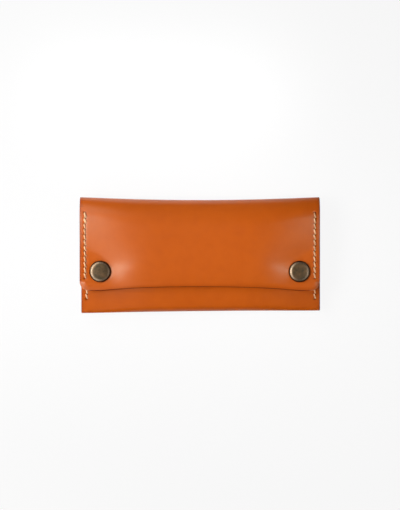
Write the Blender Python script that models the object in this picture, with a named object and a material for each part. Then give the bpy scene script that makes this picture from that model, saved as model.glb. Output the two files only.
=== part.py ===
# Soft leather glasses case with a flap that closes on two snaps.
# The case lies on its back: X runs along it, +Y points to the top fold, +Z out of the flap's face.
# All values are in metres.

import math

import bmesh
import bpy
from mathutils import Matrix, Vector

MM = 0.001

# Case
CASE_WIDTH = 166 * MM
CASE_HEIGHT = 79.8 * MM
POCKET_DEPTH = 21.2 * MM  # outside of the back to outside of the front, in the middle
FLAT_WIDTH = 56 * MM  # middle stretch that has the full depth
SIDE_LIFT = 7 * MM  # height of the back's side edges
SEAM_MARGIN = 4.5 * MM  # side strips where front and back lie together
MOUTH_DROP = 17 * MM  # top edge of the front, below the top fold
TOP_DRAW_IN = 2 * MM  # how far the fullness pulls each edge in at the middle
BOTTOM_DRAW_IN = 0.4 * MM
DRAW_IN_POWER = 1.1

# Sheets
LEATHER = 1.8 * MM
LINING = 0.8 * MM
PLY_GAP = 0.2 * MM  # between leather and lining
SEAM_GAP = 0.4 * MM  # between front and back at the side seams

# Folds: how far each one runs in from its edge
BACK_ROLL_SIDE = 4.5 * MM
BACK_ROLL_MIDDLE = 12 * MM
FLAP_ROLL_SIDE = 14 * MM
FLAP_ROLL_MIDDLE = 21 * MM
BOTTOM_ROLL_MIDDLE = 9 * MM
BOTTOM_CREST_MIDDLE = 6 * MM  # height of the bottom fold's outermost line
FRONT_ROLL = 6 * MM
FRONT_FULLNESS = 1.45  # how the front rises to the mouth: 1 is a straight slope, 2 an ellipse

# Flap
FLAP_LENGTH = 64.5 * MM  # top fold to lower edge, at the sides
FLAP_DRAW_IN = 3.1 * MM  # how far the lower edge rises over the fullness
FLAP_ARCH_POWER = 2.4  # lower edge's arch: 2 is a parabola, more is flatter in the middle
FLAP_CORNER = 6.5 * MM
FLAP_CLEARANCE = 1.3 * MM  # over the full part of the pocket
FLAP_DROOP = 0.95  # share of the front's slope that the flap follows
FLAP_FLAT_WIDTH = 40 * MM  # middle stretch that stands off at full height
SNAP_BEND_POWER = 4.5  # how late the flap takes its fall beside the snaps
FREE_BEND_POWER = 1.9  # and away from them
SNAP_BEND_REACH = 12 * MM
FLAP_WIDENING = 1.4  # how fast the fall moves out to the sides above the snaps
LINING_INSET = 0.8 * MM
LINING_TOP_ANGLE = math.radians(45)  # where the lining ends on the top roll
HINGE_GAP = 0.3 * MM
HINGE_FLAT = 0.6 * MM  # upright strip on each side of the hinge line

# Stitching
STITCH_INSET = 3.7 * MM
STITCH_PITCH = 3.82 * MM
STRAND = 0.7 * MM
STRAND_OFFSET = 0.45 * MM  # two strands share a slot, this far from its middle
THREAD_GAP = 0.25 * MM
FLAP_STITCH_TOP = 11 * MM  # first hole, from the top fold
FLAP_STITCH_END = 8.2 * MM  # last hole, from the flap's lower edge
POCKET_STITCH_TOP = 2 * MM  # first hole, from the pocket's mouth
POCKET_STITCH_END = 9 * MM  # last hole, from the bottom fold

# Snaps
SNAP_INSET = 14.2 * MM  # from the case's side
SNAP_MARGIN = 12.9 * MM  # from the flap's lower edge
SHOULDER_RISE = 0.8 * MM  # how far the front lifts off the seam at the snaps
SHOULDER_MARGIN = 1 * MM  # flat leather around the stud's flange and the cap
CAP_DIAMETER = 15 * MM
CAP_EDGE = 0.6 * MM
CAP_DOME = 1.5 * MM
CAP_BARREL = 4 * MM
CAP_FLARE = 5.4 * MM
SOCKET_DIAMETER = 12.6 * MM
SOCKET_PLATE = 0.6 * MM
SOCKET_LIP = 0.25 * MM
SPRING_WIRE = 0.7 * MM
SPRING_SPLIT = math.radians(60)
STUD_FLANGE = 11 * MM
STUD_NECK = 4.6 * MM
STUD_HEAD = 5.8 * MM
STUD_HEIGHT = 3 * MM
STUD_HEAD_HEIGHT = 1 * MM
POST_FLANGE = 9 * MM
POST_BARREL = 3 * MM
POST_FLARE = 4 * MM
FLANGE_THICKNESS = 0.6 * MM
FLARE_THICKNESS = 0.3 * MM
SEAT_GAP = 0.2 * MM  # between parts that sit on each other
BORE_GAP = 0.2 * MM  # around a barrel in its hole
RUNNING_GAP = 0.3 * MM  # between parts that move past each other

# Mesh fineness
ROLL_STEPS = 6
FRONT_STEPS = 6
SNAP_STEPS = 4
FLAP_STEPS = 6
FLAT_STEPS = 3
HUMP_STEPS = 6
FALL_STEPS = 9
SHOULDER_STEPS = 5
SEAM_STEPS = 2
CORNER_STEPS = 4
SNAP_SIDES = 20
SMOOTH_ANGLE = math.radians(40)
MERGE_DISTANCE = 0.001 * MM

# Finishes: colour, roughness and metallic value
TAN_LEATHER = ((0.600, 0.115, 0.016, 1), 0.45, 0)
TAN_LINING = ((0.500, 0.220, 0.090, 1), 0.8, 0)
CREAM_THREAD = ((0.800, 0.520, 0.300, 1), 0.6, 0)
ANTIQUE_BRASS = ((0.160, 0.115, 0.055, 1), 0.4, 1)
STEEL_WIRE = ((0.450, 0.430, 0.400, 1), 0.35, 1)

# Places that follow from the sizes
HALF_WIDTH = CASE_WIDTH / 2
HALF_HEIGHT = CASE_HEIGHT / 2
SEAM_FRONT = SIDE_LIFT + 2 * LEATHER + SEAM_GAP
SEAM_ROLL = LEATHER + SEAM_GAP / 2
SEAM_X = HALF_WIDTH - SEAM_MARGIN
MOUTH_Y = HALF_HEIGHT - MOUTH_DROP
HINGE_HEIGHT = SIDE_LIFT + BACK_ROLL_SIDE
HINGE_POINT = Vector((0, HALF_HEIGHT, HINGE_HEIGHT))
FLAP_PLIES = LEATHER + PLY_GAP + LINING
FLAP_LOW = HALF_HEIGHT - FLAP_LENGTH
FLAP_MIDDLE = POCKET_DEPTH + FLAP_CLEARANCE + FLAP_PLIES
STITCH_X = HALF_WIDTH - STITCH_INSET
SNAP_X = HALF_WIDTH - SNAP_INSET
SNAP_Y = FLAP_LOW + SNAP_MARGIN
SNAP_SEAT = SEAM_FRONT + SHOULDER_RISE
SHOULDER_OUTER = SNAP_X + STUD_FLANGE / 2 + SHOULDER_MARGIN
SHOULDER_INNER = SNAP_X - STUD_FLANGE / 2 - SHOULDER_MARGIN
FLAP_SHOULDER = SNAP_X - CAP_DIAMETER / 2 - SHOULDER_MARGIN
WIDENING_LOW = SNAP_Y + CAP_DIAMETER / 2 + SHOULDER_MARGIN

# Heights in a closed snap, above the outside of the pocket's front
STUD_TOP = SEAT_GAP + STUD_HEIGHT
SOCKET_LOW = 2 * SEAT_GAP + FLANGE_THICKNESS
GROOVE_LOW = SOCKET_LOW + SOCKET_LIP
GROOVE_TOP = GROOVE_LOW + SPRING_WIRE + 2 * BORE_GAP
CAP_FLARE_LOW = STUD_TOP + RUNNING_GAP
PLATE_LOW = CAP_FLARE_LOW + FLARE_THICKNESS + SEAT_GAP
PLATE_TOP = PLATE_LOW + SOCKET_PLATE
LINING_LOW = PLATE_TOP + SEAT_GAP
FLAP_TOP = LINING_LOW + FLAP_PLIES
CAP_LOW = FLAP_TOP + SEAT_GAP
FLAP_SIDE = SNAP_SEAT + FLAP_TOP
SPRING_RADIUS = STUD_HEAD / 2 + RUNNING_GAP + SPRING_WIRE / 2


def ease(t):
    t = min(max(t, 0), 1)
    return 0.5 - 0.5 * math.cos(math.pi * t)


def fade(x, full, none):
    # 1 where x is nearer to the middle than full, 0 past none
    return 1 - ease((abs(x) - full) / (none - full))


def rise(t, power=2):
    # a quarter of an ellipse, upright at t = 0 and level at t = 1
    t = min(max(t, 0), 1)
    return (1 - (1 - t) ** power) ** (1 / power)


def drawn_in(x, depth):
    return depth * max(0, 1 - (x / HALF_WIDTH) ** 2) ** DRAW_IN_POWER


def spread(start, stop, steps):
    return [start + (stop - start) * i / steps for i in range(1, steps + 1)]


# Shape of the case

def hump(x):
    return fade(x, FLAT_WIDTH / 2, SHOULDER_INNER)


def flap_hump(x, y):
    # the snaps pull the flap down, and above them it falls off more and more gently
    shoulder = FLAP_SHOULDER + FLAP_WIDENING * max(0, y - WIDENING_LOW)
    flat = FLAP_FLAT_WIDTH / 2
    out = min(max((abs(x) - flat) / (shoulder - flat), 0), 1)
    at_snap = math.exp(-((y - SNAP_Y) / SNAP_BEND_REACH) ** 2)
    return 1 - ease(out ** (FREE_BEND_POWER + (SNAP_BEND_POWER - FREE_BEND_POWER) * at_snap))


def top_edge(x):
    return HALF_HEIGHT - drawn_in(x, TOP_DRAW_IN)


def bottom_edge(x):
    return -HALF_HEIGHT + drawn_in(x, BOTTOM_DRAW_IN)


def back_height(x):
    return SIDE_LIFT * (1 - fade(x, FLAT_WIDTH / 2, SEAM_X))


def bottom_crest(x):
    side = SIDE_LIFT + SEAM_ROLL
    return side + (BOTTOM_CREST_MIDDLE - side) * fade(x, FLAT_WIDTH / 2, SEAM_X)


def front_roll(x):
    return SEAM_ROLL + (FRONT_ROLL - SEAM_ROLL) * fade(x, SHOULDER_OUTER, SEAM_X)


def front_rise(x, y):
    # 0 at the bottom fold, 1 at the mouth
    bottom = bottom_edge(x)
    return rise((y - bottom) / (MOUTH_Y - bottom), FRONT_FULLNESS)


def front_height(x, y):
    crest = bottom_crest(x)
    seat = SEAM_FRONT + SHOULDER_RISE * fade(x, SHOULDER_OUTER, SEAM_X)
    up = rise((y - bottom_edge(x)) / front_roll(x))
    return crest + (seat - crest) * up + (POCKET_DEPTH - SNAP_SEAT) * hump(x) * front_rise(x, y)


def flap_roll(x):
    full = fade(x, FLAT_WIDTH / 2, SEAM_X)
    return FLAP_ROLL_SIDE + (FLAP_ROLL_MIDDLE - FLAP_ROLL_SIDE) * full


def flap_height(x, y):
    start = HINGE_HEIGHT + HINGE_GAP / 2 + HINGE_FLAT
    droop = FLAP_DROOP * (POCKET_DEPTH - SNAP_SEAT) * (1 - front_rise(x, y))
    cover = FLAP_SIDE + (FLAP_MIDDLE - FLAP_SIDE - droop) * flap_hump(x, y)
    return start + (cover - start) * rise((top_edge(x) - y) / flap_roll(x))


def flap_edge(x, inset):
    arch = FLAP_DRAW_IN * max(0, 1 - abs(x / SNAP_X) ** FLAP_ARCH_POWER)
    radius = FLAP_CORNER - inset
    past = max(0, abs(x) - (HALF_WIDTH - FLAP_CORNER))
    return FLAP_LOW + inset + arch + radius - math.sqrt(max(0, radius ** 2 - past ** 2))


def pocket_profile(x):
    # from the hinge line down the back, round the bottom fold and up the front to the mouth
    top = top_edge(x)
    bottom = bottom_edge(x)
    back = back_height(x)
    crest = bottom_crest(x)
    full = fade(x, FLAT_WIDTH / 2, SEAM_X)
    top_roll = BACK_ROLL_SIDE + (BACK_ROLL_MIDDLE - BACK_ROLL_SIDE) * full
    bottom_roll = SEAM_ROLL + (BOTTOM_ROLL_MIDDLE - SEAM_ROLL) * full
    hinge = HINGE_HEIGHT - HINGE_GAP / 2
    points = [(top, hinge)]
    start = hinge - HINGE_FLAT
    for angle in [0] + spread(0, math.pi / 2, ROLL_STEPS):
        y = top - top_roll * (1 - math.cos(angle))
        points.append((y, start - (start - back) * math.sin(angle)))
    for angle in [0] + spread(0, math.pi / 2, ROLL_STEPS):
        y = bottom + bottom_roll * (1 - math.sin(angle))
        points.append((y, crest - (crest - back) * math.cos(angle)))
    for angle in spread(0, math.pi / 2, ROLL_STEPS):
        y = bottom + front_roll(x) * (1 - math.cos(angle))
        points.append((y, front_height(x, y)))
    for y in spread(bottom + front_roll(x), MOUTH_Y, FRONT_STEPS):
        points.append((y, front_height(x, y)))
    return points


def flap_profile(x, inset, top_angle):
    # from the lower edge up to the given angle on the top roll
    roll_end = top_edge(x) - flap_roll(x)
    low = flap_edge(x, inset)
    heights = [low] + spread(low, WIDENING_LOW, SNAP_STEPS) + spread(WIDENING_LOW, roll_end, FLAP_STEPS)
    for angle in spread(math.pi / 2, top_angle, ROLL_STEPS):
        heights.append(top_edge(x) - flap_roll(x) * (1 - math.cos(angle)))
    return [(y, flap_height(x, y)) for y in heights]


def flap_leather_profile(x):
    return flap_profile(x, 0, 0) + [(top_edge(x), HINGE_HEIGHT + HINGE_GAP / 2)]


def flap_lining_profile(x):
    return flap_profile(x, LINING_INSET, LINING_TOP_ANGLE)


# Building tools

def clear_scene():
    for thing in list(bpy.data.objects):
        bpy.data.objects.remove(thing)


def make_material(name, finish):
    colour, roughness, metallic = finish
    material = bpy.data.materials.new(name)
    material.use_nodes = True
    shader = material.node_tree.nodes["Principled BSDF"]
    shader.inputs["Base Color"].default_value = colour
    shader.inputs["Roughness"].default_value = roughness
    shader.inputs["Metallic"].default_value = metallic
    return material


def add_object(name, data, material=None, place=(0, 0, 0)):
    made = bpy.data.objects.new(name, data)
    made.location = place
    bpy.context.scene.collection.objects.link(made)
    if material:
        data.materials.append(material)
    return made


def mesh_object(name, bm, material=None, place=(0, 0, 0)):
    mesh = bpy.data.meshes.new(name)
    bm.to_mesh(mesh)
    bm.free()
    mesh.shade_smooth()
    mesh.set_sharp_from_angle(angle=SMOOTH_ANGLE)
    return add_object(name, mesh, material, place)


def mirrored(half):
    return [-x for x in reversed(half)] + [0] + half


def make_sheet(name, columns, profile, material, thickness, depth=0):
    # a sheet whose outside is the given surface, or lies that depth under it
    bm = bmesh.new()
    grid = [[bm.verts.new((x, y, z)) for y, z in profile(x)] for x in columns]
    for left, right in zip(grid, grid[1:]):
        for i in range(len(left) - 1):
            bm.faces.new((left[i], right[i], right[i + 1], left[i + 1]))
    sheet = mesh_object(name, bm, material)
    solidify = sheet.modifiers.new("thickness", "SOLIDIFY")
    solidify.thickness = thickness
    solidify.offset = -1 - 2 * depth / thickness
    solidify.use_even_offset = True
    return sheet


def make_turned(name, profile, material, place):
    bm = bmesh.new()
    points = [bm.verts.new((radius, 0, z)) for radius, z in profile]
    edges = [bm.edges.new(pair) for pair in zip(points, points[1:])]
    if profile[0][0] > 0:
        edges.append(bm.edges.new((points[-1], points[0])))
    bmesh.ops.spin(bm, geom=points + edges, cent=(0, 0, 0), axis=(0, 0, 1),
                   angle=2 * math.pi, steps=SNAP_SIDES)
    bmesh.ops.remove_doubles(bm, verts=bm.verts, dist=MERGE_DISTANCE)
    bmesh.ops.recalc_face_normals(bm, faces=bm.faces)
    return mesh_object(name, bm, material, place)


def make_wire(name, points, diameter, sides_step, material, place=(0, 0, 0)):
    curve = bpy.data.curves.new(name, "CURVE")
    curve.dimensions = "3D"
    curve.bevel_depth = diameter / 2
    curve.bevel_resolution = sides_step
    curve.use_fill_caps = True
    spline = curve.splines.new("POLY")
    spline.points.add(len(points) - 1)
    for point, place_on_path in zip(spline.points, points):
        point.co = (*place_on_path, 1)
    return add_object(name, curve, material, place)


def add_slot(bm, x, y, size, low, high):
    place = Matrix.Translation((x, y, (low + high) / 2))
    bmesh.ops.create_cube(bm, size=1, matrix=place @ Matrix.Diagonal((*size, high - low, 1)))


def add_bore(bm, x, y, diameter, low, high):
    place = Matrix.Translation((x, y, (low + high) / 2))
    bmesh.ops.create_cone(bm, cap_ends=True, segments=SNAP_SIDES, radius1=diameter / 2,
                          radius2=diameter / 2, depth=high - low, matrix=place)


def cut_holes(name, bm, pieces):
    cutter = mesh_object(name, bm)
    cutter.hide_render = True
    cutter.display_type = "WIRE"
    for piece in pieces:
        piece.modifiers.new("holes", "BOOLEAN").object = cutter
    return cutter


def hang_on(parent, pieces):
    bpy.context.view_layer.update()
    for piece in pieces:
        piece.parent = parent
        piece.matrix_parent_inverse = parent.matrix_world.inverted()


# Leather

def pocket_columns():
    half = spread(0, FLAT_WIDTH / 2, FLAT_STEPS)
    half += spread(half[-1], SHOULDER_INNER, HUMP_STEPS)
    half += [SNAP_X, SHOULDER_OUTER]
    half += spread(SHOULDER_OUTER, SEAM_X, SEAM_STEPS)
    return mirrored(half + [HALF_WIDTH])


def flap_columns(inset):
    half = spread(0, FLAP_FLAT_WIDTH / 2, FLAT_STEPS)
    half += spread(half[-1], FLAP_SHOULDER, FALL_STEPS)
    corner = HALF_WIDTH - FLAP_CORNER
    half += spread(FLAP_SHOULDER, corner, SHOULDER_STEPS)
    for angle in spread(0, math.pi / 2, CORNER_STEPS):
        half.append(corner + (FLAP_CORNER - inset) * math.sin(angle))
    return mirrored(half)


# Stitching

def stitch_holes(top, end):
    count = round((top - end) / STITCH_PITCH)
    return [top] + spread(top, end, count)


def softened(corners, cut):
    points = [corners[0]]
    for before, corner, after in zip(corners, corners[1:], corners[2:]):
        points.append(corner + (before - corner).normalized() * cut)
        points.append(corner + (after - corner).normalized() * cut)
    return points + [corners[-1]]


def seam_height(x, y):
    return SEAM_FRONT


def saddle_stitch(row_x, holes, front, plies):
    # two strands worked from the first hole to the last, crossing in every slot, as one thread
    def corner(side, hole, on_front):
        x = row_x + side * STRAND_OFFSET
        off = THREAD_GAP + STRAND / 2
        z = front(x, holes[hole]) + (off if on_front else -plies - off)
        return Vector((x, holes[hole], z))

    def strand(on_front):
        path = [corner(1, 0, False)]
        if on_front:
            path = [corner(-1, 0, False), corner(-1, 0, True)]
        for hole in range(1, len(holes)):
            side = 1 if on_front else -1
            path.append(corner(side, hole, on_front))
            if on_front or hole < len(holes) - 1:
                path.append(corner(side, hole, not on_front))
            on_front = not on_front
        return path

    return softened(strand(False)[::-1] + strand(True), STRAND / 2)


def slot_size():
    width = STRAND + 2 * THREAD_GAP
    return (width + 2 * STRAND_OFFSET, width)


# Snap parts, with heights above the outside of the pocket's front

def cap_profile():
    edge = CAP_DIAMETER / 2
    flare_top = CAP_FLARE_LOW + FLARE_THICKNESS
    points = []
    for angle in [0] + spread(0, math.pi / 2, ROLL_STEPS):
        points.append((edge * math.sin(angle), CAP_LOW + CAP_EDGE + CAP_DOME * math.cos(angle)))
    return points + [
        (edge, CAP_LOW),
        (CAP_BARREL / 2, CAP_LOW),
        (CAP_BARREL / 2, flare_top),
        (CAP_FLARE / 2, flare_top),
        (CAP_FLARE / 2, CAP_FLARE_LOW),
        (0, CAP_FLARE_LOW),
    ]


def socket_profile():
    mouth = STUD_HEAD / 2 + RUNNING_GAP
    groove = SPRING_RADIUS + SPRING_WIRE / 2 + BORE_GAP
    outer = SOCKET_DIAMETER / 2
    hole = CAP_BARREL / 2 + BORE_GAP
    return [
        (hole, PLATE_TOP),
        (outer, PLATE_TOP),
        (outer, SOCKET_LOW),
        (mouth, SOCKET_LOW),
        (mouth, GROOVE_LOW),
        (groove, GROOVE_LOW),
        (groove, GROOVE_TOP),
        (mouth, GROOVE_TOP),
        (mouth, PLATE_LOW),
        (hole, PLATE_LOW),
    ]


def spring_points():
    sweep = 2 * math.pi - SPRING_SPLIT
    height = (GROOVE_LOW + GROOVE_TOP) / 2
    points = []
    for angle in [0] + spread(0, sweep, SNAP_SIDES):
        points.append((SPRING_RADIUS * math.cos(angle), SPRING_RADIUS * math.sin(angle), height))
    return points


def stud_profile():
    bore = POST_BARREL / 2 + BORE_GAP
    recess = POST_FLARE / 2 + BORE_GAP
    recess_low = STUD_TOP - FLARE_THICKNESS - 2 * SEAT_GAP
    head_low = STUD_TOP - STUD_HEAD_HEIGHT
    flange_top = SEAT_GAP + FLANGE_THICKNESS
    return [
        (recess, STUD_TOP),
        (STUD_HEAD / 2, STUD_TOP),
        (STUD_HEAD / 2, head_low),
        (STUD_NECK / 2, head_low),
        (STUD_NECK / 2, flange_top),
        (STUD_FLANGE / 2, flange_top),
        (STUD_FLANGE / 2, SEAT_GAP),
        (bore, SEAT_GAP),
        (bore, recess_low),
        (recess, recess_low),
    ]


def post_profile():
    flare_top = STUD_TOP - SEAT_GAP
    flange_top = -LEATHER - SEAT_GAP
    return [
        (0, flare_top),
        (POST_FLARE / 2, flare_top),
        (POST_FLARE / 2, flare_top - FLARE_THICKNESS),
        (POST_BARREL / 2, flare_top - FLARE_THICKNESS),
        (POST_BARREL / 2, flange_top),
        (POST_FLANGE / 2, flange_top),
        (POST_FLANGE / 2, flange_top - FLANGE_THICKNESS),
        (0, flange_top - FLANGE_THICKNESS),
    ]


def main():
    clear_scene()
    tan = make_material("tan_leather", TAN_LEATHER)
    lining_tan = make_material("lining_leather", TAN_LINING)
    cream = make_material("waxed_thread", CREAM_THREAD)
    brass = make_material("antique_brass", ANTIQUE_BRASS)
    steel = make_material("spring_steel", STEEL_WIRE)

    hinge = add_object("flap_hinge_axis", None, place=HINGE_POINT)

    shell = make_sheet("pocket_shell", pocket_columns(), pocket_profile, tan, LEATHER)
    flap = make_sheet("flap_leather", flap_columns(0), flap_leather_profile, tan, LEATHER)
    lining = make_sheet("flap_lining", flap_columns(LINING_INSET), flap_lining_profile, lining_tan,
                        LINING, LEATHER + PLY_GAP)
    on_flap = [flap, lining]

    flap_rows = stitch_holes(HALF_HEIGHT - FLAP_STITCH_TOP, FLAP_LOW + FLAP_STITCH_END)
    pocket_rows = stitch_holes(MOUTH_Y - POCKET_STITCH_TOP, POCKET_STITCH_END - HALF_HEIGHT)
    flap_cuts = bmesh.new()
    pocket_cuts = bmesh.new()
    for side, sign in (("left", -1), ("right", 1)):
        row_x = sign * STITCH_X
        path = saddle_stitch(row_x, flap_rows, flap_height, FLAP_PLIES)
        on_flap.append(make_wire(side + "_flap_thread", path, STRAND, 0, cream))
        path = saddle_stitch(row_x, pocket_rows, seam_height, SEAM_FRONT - SIDE_LIFT)
        make_wire(side + "_pocket_thread", path, STRAND, 0, cream)
        for y in flap_rows:
            add_slot(flap_cuts, row_x, y, slot_size(), SNAP_SEAT, FLAP_MIDDLE + LEATHER)
        for y in pocket_rows:
            add_slot(pocket_cuts, row_x, y, slot_size(), SIDE_LIFT - LEATHER, SEAM_FRONT + LEATHER)

        seat = (sign * SNAP_X, SNAP_Y, SNAP_SEAT)
        on_flap.append(make_turned(side + "_snap_cap", cap_profile(), brass, seat))
        on_flap.append(make_turned(side + "_snap_socket", socket_profile(), brass, seat))
        on_flap.append(make_wire(side + "_snap_spring", spring_points(), SPRING_WIRE, 1, steel, seat))
        make_turned(side + "_snap_stud", stud_profile(), brass, seat)
        make_turned(side + "_snap_post", post_profile(), brass, seat)
        add_bore(flap_cuts, *seat[:2], CAP_BARREL + 2 * BORE_GAP, SNAP_SEAT, FLAP_SIDE + LEATHER)
        add_bore(pocket_cuts, *seat[:2], POST_BARREL + 2 * BORE_GAP,
                 SNAP_SEAT - LEATHER - SEAT_GAP, SNAP_SEAT + LEATHER)

    on_flap.append(cut_holes("flap_holes", flap_cuts, [flap, lining]))
    cut_holes("pocket_holes", pocket_cuts, [shell])
    hang_on(hinge, on_flap)


main()
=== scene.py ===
import math
import random

import bmesh
import bpy
from mathutils import Matrix, Vector


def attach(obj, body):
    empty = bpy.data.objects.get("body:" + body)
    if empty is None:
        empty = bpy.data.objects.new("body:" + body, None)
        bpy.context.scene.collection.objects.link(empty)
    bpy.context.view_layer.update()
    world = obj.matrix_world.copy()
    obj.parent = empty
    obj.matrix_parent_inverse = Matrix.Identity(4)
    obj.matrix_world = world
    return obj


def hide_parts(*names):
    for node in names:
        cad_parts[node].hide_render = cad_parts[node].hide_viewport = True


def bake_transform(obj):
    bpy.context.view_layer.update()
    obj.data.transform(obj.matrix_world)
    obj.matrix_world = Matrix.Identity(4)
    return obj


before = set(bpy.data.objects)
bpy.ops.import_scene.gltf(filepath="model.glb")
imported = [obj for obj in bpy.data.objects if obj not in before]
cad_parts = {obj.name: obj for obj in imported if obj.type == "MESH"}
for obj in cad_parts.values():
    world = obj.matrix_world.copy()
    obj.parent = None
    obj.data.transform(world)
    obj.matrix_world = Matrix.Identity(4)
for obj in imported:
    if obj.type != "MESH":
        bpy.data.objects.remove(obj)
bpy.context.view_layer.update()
mm = 0.001
print("frame loaded with", len(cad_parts), "nodes")


# small helpers

def deselectAll():
    bpy.ops.object.select_all(action="DESELECT")


def makeActive(piece):
    deselectAll()
    piece.select_set(True)
    bpy.context.view_layer.objects.active = piece


def ease(t):
    t = min(max(t, 0.0), 1.0)
    return 0.5 - 0.5 * math.cos(math.pi * t)


def fade(x, full, none):  # 1 nearer to the middle than full, 0 past none
    return 1 - ease((abs(x) - full) / (none - full))


def rise(t, power=2.0):  # quarter of an ellipse, upright at 0 and level at 1
    t = min(max(t, 0.0), 1.0)
    return (1 - (1 - t) ** power) ** (1 / power)


def bell(distance, reach):
    return math.exp(-(distance / reach) ** 2)


# materials

def startMaterial(name):
    material = bpy.data.materials.new(name)
    material.use_nodes = True
    tree = material.node_tree
    return material, tree, tree.nodes["Principled BSDF"]


def addNode(tree, kind, values=None, **settings):
    node = tree.nodes.new(kind)
    for key, value in settings.items():
        setattr(node, key, value)
    for key, value in (values or {}).items():
        node.inputs[key].default_value = value
    return node


def noiseOn(tree, coords, scale, detail=3.0, roughness=0.55):
    values = {"Scale": scale, "Detail": detail, "Roughness": roughness}
    node = addNode(tree, "ShaderNodeTexNoise", values)
    tree.links.new(coords, node.inputs["Vector"])
    return node.outputs["Fac"]


def spreadOut(tree, value, low, high, newLow=0.0, newHigh=1.0):  # noise keeps to the middle of 0 to 1
    values = {"From Min": low, "From Max": high, "To Min": newLow, "To Max": newHigh}
    node = addNode(tree, "ShaderNodeMapRange", values)
    tree.links.new(value, node.inputs["Value"])
    return node.outputs["Result"]


def mixColours(tree, amount, first, second, blend="MIX"):
    node = addNode(tree, "ShaderNodeMix", data_type="RGBA", blend_type=blend)
    tree.links.new(amount, node.inputs["Factor"])
    for socket, colour in ((node.inputs["A"], first), (node.inputs["B"], second)):
        if isinstance(colour, tuple):
            socket.default_value = (*colour, 1.0)
        else:
            tree.links.new(colour, socket)
    return node.outputs["Result"]


def calculate(tree, operation, first, second):
    node = addNode(tree, "ShaderNodeMath", operation=operation)
    for socket, value in zip(node.inputs, (first, second)):
        if isinstance(value, float):
            socket.default_value = value
        else:
            tree.links.new(value, socket)
    return node.outputs["Value"]


def addBump(tree, shader, height, strength, distance):
    bump = addNode(tree, "ShaderNodeBump", {"Strength": strength, "Distance": distance * mm})
    tree.links.new(height, bump.inputs["Height"])
    tree.links.new(bump.outputs["Normal"], shader.inputs["Normal"])


def objectCoords(tree):
    return addNode(tree, "ShaderNodeTexCoord").outputs["Object"]


def readAttribute(tree, name):
    return addNode(tree, "ShaderNodeAttribute", attribute_name=name).outputs["Fac"]


grainLook = {
    "colour": (0.600, 0.105, 0.0045),
    "deep": (0.455, 0.066, 0.003),
    "pale": (0.680, 0.138, 0.010),
    # leather pressed in by the stitches, darkened further with painted shade in the holes and along the
    # row
    "pressedAndShade": (0.150, 0.022, 0.003),
    # painted highlight on the flap's lower corners, where light catches the rounded edge
    "paintedHighlight": (0.820, 0.290, 0.120),
    "cloudScale": 26.0,
    "cloudShare": 0.18,
    "blotchScale": 130.0,
    "blotchShare": 0.20,
    "edgeShare": 0.9,
    "poreScale": 1500.0,
    "poreHeight": 0.5,
    "creaseScale": 420.0,
    "bump": (0.16, 0.12),      # strength, height in millimetres
    "roughness": (0.28, 0.37),
    "gloss": 0.30,
    "handledGloss": 0.47,      # the flap is polished by hands
    "pressedGloss": 0.05,
    "glossTint": (0.70, 1.0, 0.84),
}


def makeGrainLeather(name, gloss):
    material, tree, shader = startMaterial(name)
    coords = objectCoords(tree)
    clouds = spreadOut(tree, noiseOn(tree, coords, grainLook["cloudScale"], 4.0), 0.35, 0.65)
    clouds = calculate(tree, "MULTIPLY", clouds, grainLook["cloudShare"])
    blotches = noiseOn(tree, coords, grainLook["blotchScale"], 5.0)
    blotches = spreadOut(tree, blotches, 0.40, 0.75, 0.0, grainLook["blotchShare"])
    colour = mixColours(tree, clouds, grainLook["colour"], grainLook["pale"])
    colour = mixColours(tree, blotches, colour, grainLook["deep"])
    edge = calculate(tree, "MULTIPLY", readAttribute(tree, "nearEdge"), grainLook["edgeShare"])
    colour = mixColours(tree, edge, colour, grainLook["deep"])
    pressedAndShade = readAttribute(tree, "pressedAndShade")
    # painted shade in the stitch holes and the row's groove, over the pressed leather's own darkening
    colour = mixColours(tree, pressedAndShade, colour, grainLook["pressedAndShade"])
    # painted highlight at the flap's lower corners
    colour = mixColours(tree, readAttribute(tree, "paintedHighlight"), colour, grainLook["paintedHighlight"])
    tree.links.new(colour, shader.inputs["Base Color"])
    pores = addNode(tree, "ShaderNodeTexVoronoi", {"Scale": grainLook["poreScale"]})
    tree.links.new(coords, pores.inputs["Vector"])
    creases = noiseOn(tree, coords, grainLook["creaseScale"], 6.0, 0.6)
    rough = spreadOut(tree, creases, 0.3, 0.7, *grainLook["roughness"])
    tree.links.new(rough, shader.inputs["Roughness"])
    poreHeight = calculate(tree, "MULTIPLY", pores.outputs["Distance"], grainLook["poreHeight"])
    addBump(tree, shader, calculate(tree, "ADD", poreHeight, creases), *grainLook["bump"])
    shine = spreadOut(tree, pressedAndShade, 0.0, 1.0, gloss, grainLook["pressedGloss"])
    tree.links.new(shine, shader.inputs["Specular IOR Level"])
    shader.inputs["Specular Tint"].default_value = (*grainLook["glossTint"], 1.0)
    return material


fleshLook = {
    "colour": (0.520, 0.230, 0.095),
    "dark": (0.400, 0.155, 0.058),
    "fibreScale": 900.0,
    "napScale": 160.0,
    "bump": (0.5, 0.25),
    "roughness": 0.88,
    "sheen": 0.25,
}


def makeFleshLeather():
    material, tree, shader = startMaterial("fleshLeather")
    coords = objectCoords(tree)
    nap = spreadOut(tree, noiseOn(tree, coords, fleshLook["napScale"], 4.0), 0.35, 0.7)
    fibres = noiseOn(tree, coords, fleshLook["fibreScale"], 6.0, 0.7)
    colour = mixColours(tree, nap, fleshLook["colour"], fleshLook["dark"])
    colour = mixColours(tree, spreadOut(tree, fibres, 0.45, 0.75, 0.0, 0.4), colour, fleshLook["dark"])
    tree.links.new(colour, shader.inputs["Base Color"])
    addBump(tree, shader, fibres, *fleshLook["bump"])
    shader.inputs["Roughness"].default_value = fleshLook["roughness"]
    shader.inputs["Sheen Weight"].default_value = fleshLook["sheen"]
    return material


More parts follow.
